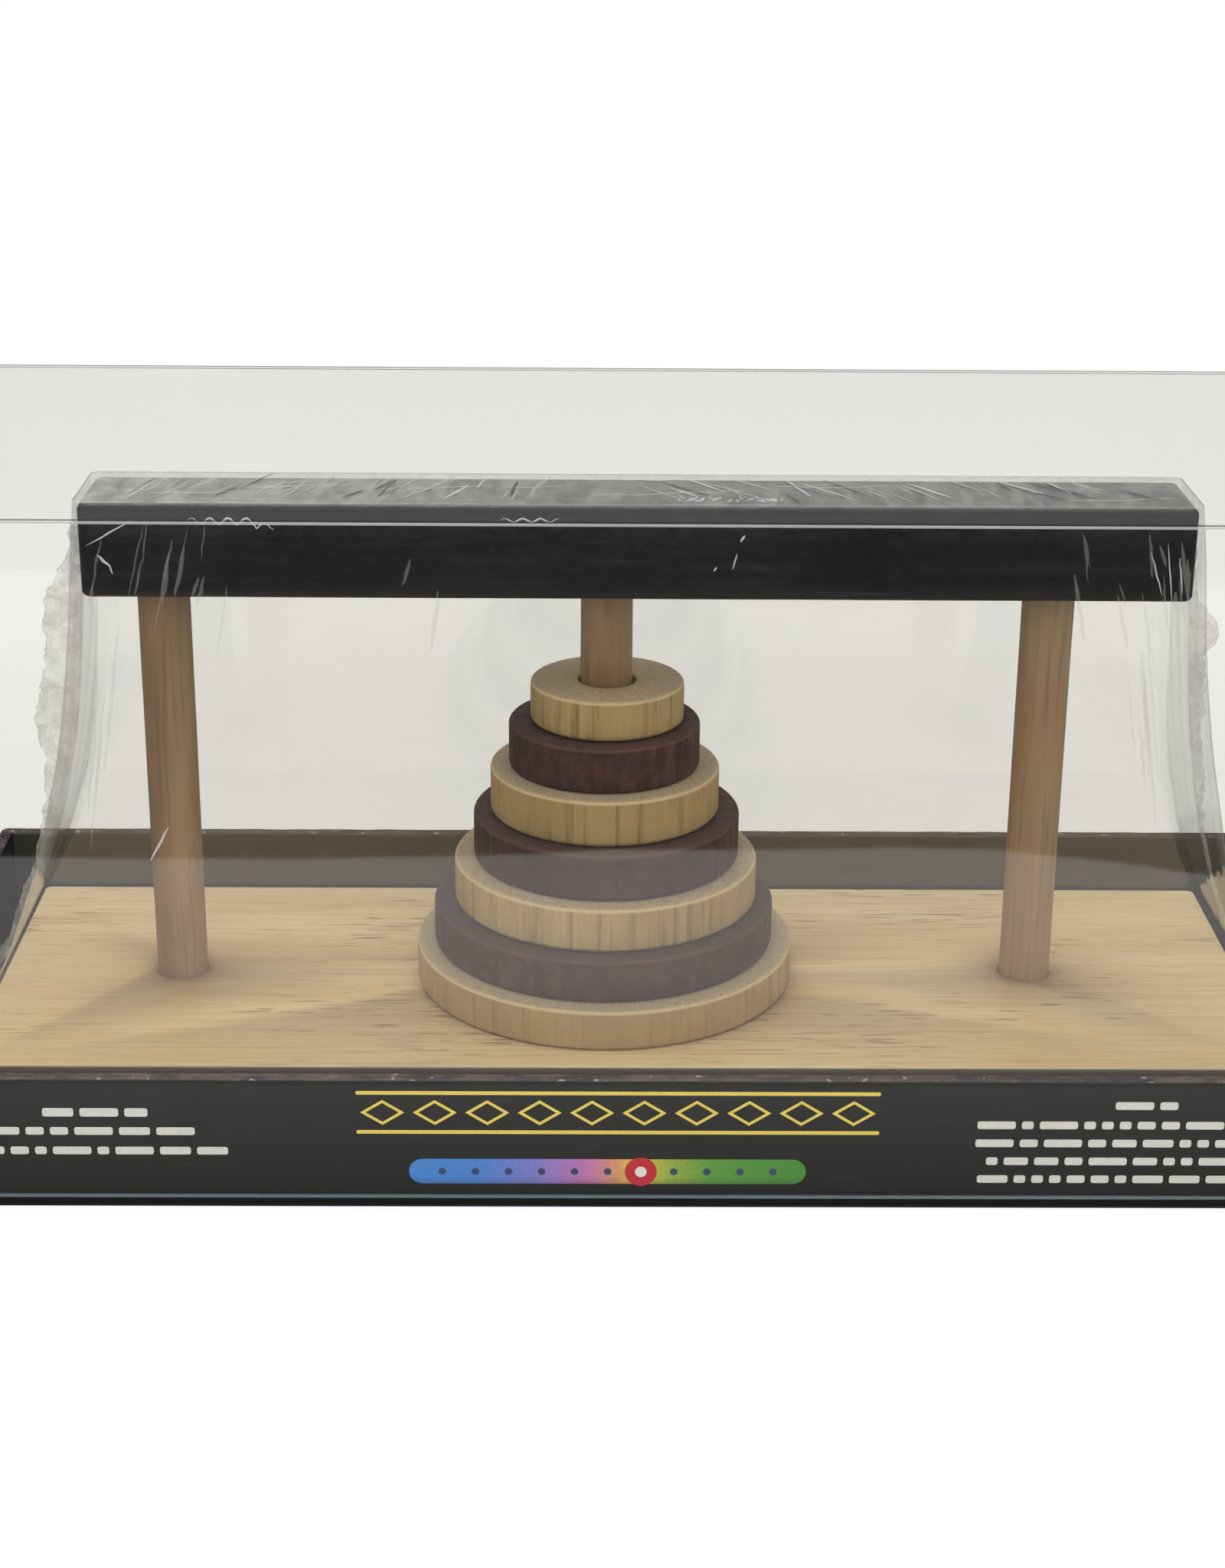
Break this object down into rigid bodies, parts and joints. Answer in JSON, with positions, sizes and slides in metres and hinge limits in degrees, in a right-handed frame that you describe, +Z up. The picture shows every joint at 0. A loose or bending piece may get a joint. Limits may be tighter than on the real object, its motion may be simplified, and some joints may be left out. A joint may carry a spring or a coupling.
{
  "type": "tower puzzle",
  "caption": "Tower of Hanoi puzzle of wooden disks on upright posts, with a bar across the post tops, packed in a card tray under a clear lift-off cover.",
  "frame": {"origin": "middle of the display tray's footprint, on the surface it stands on", "axes": "+X to the right along the row of posts, +Y to the back, +Z up; the printed panel faces -Y"},
  "size_m": [0.286, 0.1288, 0.134],
  "materials": {
    "board_wood": "pale straight-grained wood, smooth, thin satin finish",
    "post_wood": "brown dowel, fine grain along the post, satin",
    "light_wood": "tan wood with dark flecks, sanded, satin",
    "dark_wood": "dark red-brown wood with fine pores, sanded, satin",
    "black_bar": "black stain, smooth, seen through film",
    "black_card": "black printed card, gloss varnish",
    "clear_plastic": "clear rigid sheet, glossy",
    "film": "clear shrink film, wrinkled and glossy"
  },
  "bodies": {
    "tray": {"display_tray": "black_card"},
    "puzzle_base": {"base_board": "board_wood", "left_post": "post_wood", "centre_post": "post_wood", "right_post": "post_wood"},
    "ring_7": {"disk_7": "light_wood"},
    "ring_6": {"disk_6": "dark_wood"},
    "ring_5": {"disk_5": "light_wood"},
    "ring_4": {"disk_4": "dark_wood"},
    "ring_3": {"disk_3": "light_wood"},
    "ring_2": {"disk_2": "dark_wood"},
    "ring_1": {"disk_1": "light_wood"},
    "bar": {"packing_bar": "black_bar"},
    "film": {"shrink_film": "film"},
    "cover": {"clear_cover": "clear_plastic"}
  },
  "joints": [
    {"name": "puzzle_lift", "type": "slide", "parent": "tray", "child": "puzzle_base", "axis": [0, 0, 1], "range_m": [0, 0.028]},
    {"name": "disk_7_lift", "type": "slide", "parent": "puzzle_base", "child": "ring_7", "axis": [0, 0, 1], "range_m": [0, 0.083]},
    {"name": "disk_6_lift", "type": "slide", "parent": "ring_7", "child": "ring_6", "axis": [0, 0, 1], "range_m": [0, 0.074]},
    {"name": "disk_5_lift", "type": "slide", "parent": "ring_6", "child": "ring_5", "axis": [0, 0, 1], "range_m": [0, 0.066]},
    {"name": "disk_4_lift", "type": "slide", "parent": "ring_5", "child": "ring_4", "axis": [0, 0, 1], "range_m": [0, 0.057]},
    {"name": "disk_3_lift", "type": "slide", "parent": "ring_4", "child": "ring_3", "axis": [0, 0, 1], "range_m": [0, 0.047]},
    {"name": "disk_2_lift", "type": "slide", "parent": "ring_3", "child": "ring_2", "axis": [0, 0, 1], "range_m": [0, 0.038]},
    {"name": "disk_1_lift", "type": "slide", "parent": "ring_2", "child": "ring_1", "axis": [0, 0, 1], "range_m": [0, 0.029]},
    {"name": "bar_lift", "type": "slide", "parent": "ring_1", "child": "bar", "axis": [0, 0, 1], "range_m": [0, 0.025]},
    {"name": "film_lift", "type": "slide", "parent": "bar", "child": "film", "axis": [0, 0, 1], "range_m": [0, 0.118]},
    {"name": "cover_lift", "type": "slide", "parent": "film", "child": "cover", "axis": [0, 0, 1], "range_m": [0, 0.13]}
  ]
}
